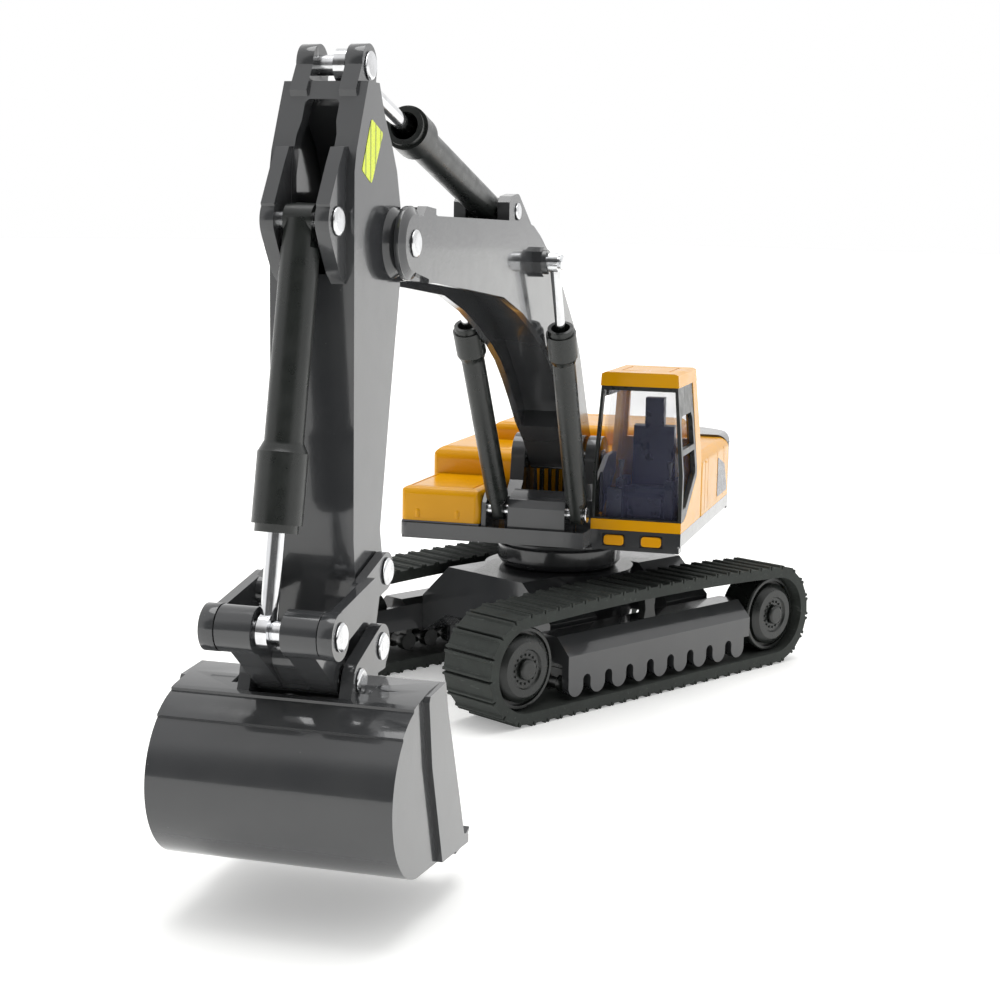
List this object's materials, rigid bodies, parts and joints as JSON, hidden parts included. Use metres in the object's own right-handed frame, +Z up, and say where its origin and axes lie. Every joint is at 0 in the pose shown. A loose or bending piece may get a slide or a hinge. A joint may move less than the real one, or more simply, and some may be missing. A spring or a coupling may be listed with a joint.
{
  "type": "toy crawler excavator",
  "caption": "Die-cast toy crawler excavator with rubber tracks, slewing cab and body, and a riveted boom, stick and bucket with telescoping cylinders.",
  "frame": {"origin": "on the ground, on the slew axis between the tracks", "axes": "+X forward along the tracks, +Y the machine's left, +Z up along the slew axis; the upper works stand turned 29.9 degrees to the left"},
  "size_m": [0.1332, 0.092, 0.0775],
  "materials": {
    "grey_enamel": "gloss enamel, dark warm grey",
    "yellow_enamel": "gloss enamel, golden yellow",
    "track_rubber": "matt, moulded",
    "black_plastic": "satin moulded plastic, black",
    "navy_plastic": "satin moulded plastic, dark navy",
    "amber_paint": "gloss, amber yellow",
    "clear_plastic": "clear, faintly violet",
    "chrome_rod": "polished",
    "rivet_steel": "bright, slightly brushed"
  },
  "bodies": {
    "undercarriage": {"carbody": "grey_enamel", "slew_ring": "grey_enamel", "track_frame_left": "grey_enamel", "track_frame_right": "grey_enamel", "roller_strip_left": "black_plastic", "roller_strip_right": "black_plastic", "carrier_post_left": "black_plastic", "carrier_post_right": "black_plastic", "wheel_axles": "black_plastic", "belt_left": "track_rubber", "belt_right": "track_rubber"},
    "idler_left_wheel": {"idler_left": "black_plastic"},
    "idler_right_wheel": {"idler_right": "black_plastic"},
    "sprocket_left_wheel": {"sprocket_left": "black_plastic"},
    "sprocket_right_wheel": {"sprocket_right": "black_plastic"},
    "upper_works": {"turntable": "grey_enamel", "king_rivet": "rivet_steel", "deck": "grey_enamel", "headlamps": "amber_paint", "boom_cylinder_base_pin": "rivet_steel", "boom_foot_pin": "rivet_steel", "front_grille": "black_plastic", "body_shell": "yellow_enamel", "right_locker": "yellow_enamel", "counterweight": "grey_enamel", "cab_shell": "yellow_enamel", "window_surround": "black_plastic", "cab_glazing": "clear_plastic", "seat_insert": "navy_plastic", "control_levers": "black_plastic"},
    "boom_arm": {"boom": "grey_enamel", "boom_stick_pin": "rivet_steel", "stick_cylinder_base_pin": "rivet_steel", "boom_cylinder_rod_pin": "rivet_steel"},
    "boom_barrels": {"boom_barrel_left": "black_plastic", "boom_barrel_right": "black_plastic"},
    "boom_rods": {"boom_rod_left": "chrome_rod", "boom_rod_right": "chrome_rod"},
    "stick_arm": {"stick": "grey_enamel", "stick_top_pin": "rivet_steel", "bucket_cylinder_pin": "rivet_steel", "rocker_pin": "rivet_steel"},
    "stick_cylinder_barrel": {"stick_barrel": "black_plastic"},
    "stick_cylinder_rod": {"stick_rod": "chrome_rod"},
    "bucket_cylinder_barrel": {"bucket_barrel": "black_plastic"},
    "bucket_cylinder_rod": {"bucket_rod": "chrome_rod"},
    "rocker": {"rocker_left": "grey_enamel", "rocker_right": "grey_enamel", "link_pin": "rivet_steel"},
    "coupler_link": {"coupler": "grey_enamel"},
    "bucket_assembly": {"bucket": "grey_enamel", "bucket_teeth": "grey_enamel", "bucket_pin": "rivet_steel", "coupler_pin": "rivet_steel"}
  },
  "joints": [
    {"name": "slew", "type": "hinge", "parent": "undercarriage", "child": "upper_works", "pos_m": [0, 0, 0.0186], "axis": [0, 0, 1], "continuous": true},
    {"name": "boom_lift", "type": "hinge", "parent": "upper_works", "child": "boom_arm", "pos_m": [0.00356, 0.00324, 0.0306], "axis": [0.4985, -0.8669, 0], "range_deg": [-2, 28]},
    {"name": "boom_barrel_swing", "type": "hinge", "parent": "upper_works", "child": "boom_barrels", "pos_m": [0.01318, 0.00878, 0.0246], "axis": [0.4985, -0.8669, 0], "range_deg": [-2.39, 26.94]},
    {"name": "boom_rod_swing", "type": "hinge", "parent": "boom_arm", "child": "boom_rods", "pos_m": [0.02904, 0.0179, 0.0576], "axis": [0.4985, -0.8669, 0], "range_deg": [-2.06, 0.61]},
    {"name": "stick_swing", "type": "hinge", "parent": "boom_arm", "child": "stick_arm", "pos_m": [0.07291, 0.04312, 0.0601], "axis": [0.4985, -0.8669, 0], "range_deg": [-30, 12]},
    {"name": "stick_barrel_swing", "type": "hinge", "parent": "boom_arm", "child": "stick_cylinder_barrel", "pos_m": [0.03459, 0.02109, 0.0634], "axis": [0.4985, -0.8669, 0], "range_deg": [-6.02, 2.71]},
    {"name": "stick_rod_swing", "type": "hinge", "parent": "stick_arm", "child": "stick_cylinder_rod", "pos_m": [0.07668, 0.04529, 0.0756], "axis": [0.4985, -0.8669, 0], "range_deg": [-10.29, 24.98]},
    {"name": "bucket_curl", "type": "hinge", "parent": "stick_arm", "child": "bucket_assembly", "pos_m": [0.07846, 0.04631, 0.02385], "axis": [0.4985, -0.8669, 0], "range_deg": [-45, 15]},
    {"name": "rocker_swing", "type": "hinge", "parent": "stick_arm", "child": "rocker", "pos_m": [0.07672, 0.04532, 0.0304], "axis": [0.4985, -0.8669, 0], "range_deg": [-21.24, 7.41]},
    {"name": "coupler_swing", "type": "hinge", "parent": "rocker", "child": "coupler_link", "pos_m": [0.08912, 0.05244, 0.0274], "axis": [0.4985, -0.8669, 0], "range_deg": [-4.17, 11.52]},
    {"name": "bucket_barrel_swing", "type": "hinge", "parent": "stick_arm", "child": "bucket_cylinder_barrel", "pos_m": [0.08348, 0.0492, 0.062], "axis": [0.4985, -0.8669, 0], "range_deg": [-4.36, 1.79]},
    {"name": "bucket_rod_swing", "type": "hinge", "parent": "rocker", "child": "bucket_cylinder_rod", "pos_m": [0.08912, 0.05244, 0.0274], "axis": [0.4985, -0.8669, 0], "range_deg": [-6.13, 17.38]},
    {"name": "idler_left_spin", "type": "hinge", "parent": "undercarriage", "child": "idler_left_wheel", "pos_m": [0.025, 0.01545, 0.0072], "axis": [0, 1, 0], "continuous": true},
    {"name": "idler_right_spin", "type": "hinge", "parent": "undercarriage", "child": "idler_right_wheel", "pos_m": [0.025, -0.01545, 0.0072], "axis": [0, 1, 0], "continuous": true},
    {"name": "sprocket_left_spin", "type": "hinge", "parent": "undercarriage", "child": "sprocket_left_wheel", "pos_m": [-0.025, 0.01545, 0.0072], "axis": [0, 1, 0], "continuous": true},
    {"name": "sprocket_right_spin", "type": "hinge", "parent": "undercarriage", "child": "sprocket_right_wheel", "pos_m": [-0.025, -0.01545, 0.0072], "axis": [0, 1, 0], "continuous": true}
  ],
  "couplings": [
    {"joint": "boom_barrel_swing", "follows": "boom_lift", "ratio": 0.9443},
    {"joint": "boom_rod_swing", "follows": "boom_lift", "ratio": -0.0557},
    {"joint": "stick_barrel_swing", "follows": "stick_swing", "ratio": 0.1841},
    {"joint": "stick_rod_swing", "follows": "stick_swing", "ratio": -0.8159},
    {"joint": "rocker_swing", "follows": "bucket_curl", "ratio": 0.4609},
    {"joint": "coupler_swing", "follows": "bucket_curl", "ratio": -0.2449},
    {"joint": "bucket_barrel_swing", "follows": "bucket_curl", "ratio": 0.0858},
    {"joint": "bucket_rod_swing", "follows": "bucket_curl", "ratio": -0.3751},
    {"joint": "idler_left_spin", "follows": "sprocket_left_spin", "ratio": 1},
    {"joint": "idler_right_spin", "follows": "sprocket_right_spin", "ratio": 1}
  ]
}
